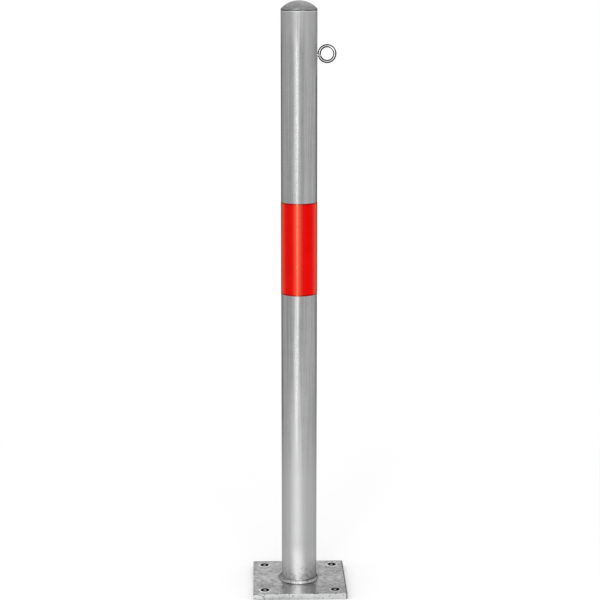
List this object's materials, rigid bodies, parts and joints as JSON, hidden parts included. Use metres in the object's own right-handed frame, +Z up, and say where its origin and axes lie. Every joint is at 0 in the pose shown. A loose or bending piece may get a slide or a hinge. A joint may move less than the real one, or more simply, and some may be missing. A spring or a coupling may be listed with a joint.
{
  "type": "bolt-down bollard",
  "caption": "Slim round steel bollard with a square bolt-down base plate, domed end cap, red reflective band and a chain eye near the top.",
  "frame": {"origin": "on the tube's axis, at the underside of the base plate", "axes": "+Z up along the tube, +X from the tube towards the chain eye, +Y towards the back, where the film's overlap lies"},
  "size_m": [0.16, 0.16, 1],
  "materials": {
    "zinc_plate": "hot-dip galvanised, mottled, satin",
    "zinc_tube": "hot-dip galvanised, faint streaks along the tube, satin",
    "zinc_weld": "rippled weld bead under zinc, satin",
    "cap": "dull cast, fine-grained",
    "red_film": "smooth reflective film, glossy",
    "insert": "bright zinc plating",
    "bright_wire": "bright zinc plating, smooth and shiny"
  },
  "bodies": {
    "root": {"base_plate": "zinc_plate", "post_tube": "zinc_tube", "foot_weld": "zinc_weld", "end_cap": "cap", "reflective_band": "red_film", "rivet_nut": "insert", "eye_bolt": "bright_wire"}
  },
  "joints": []
}
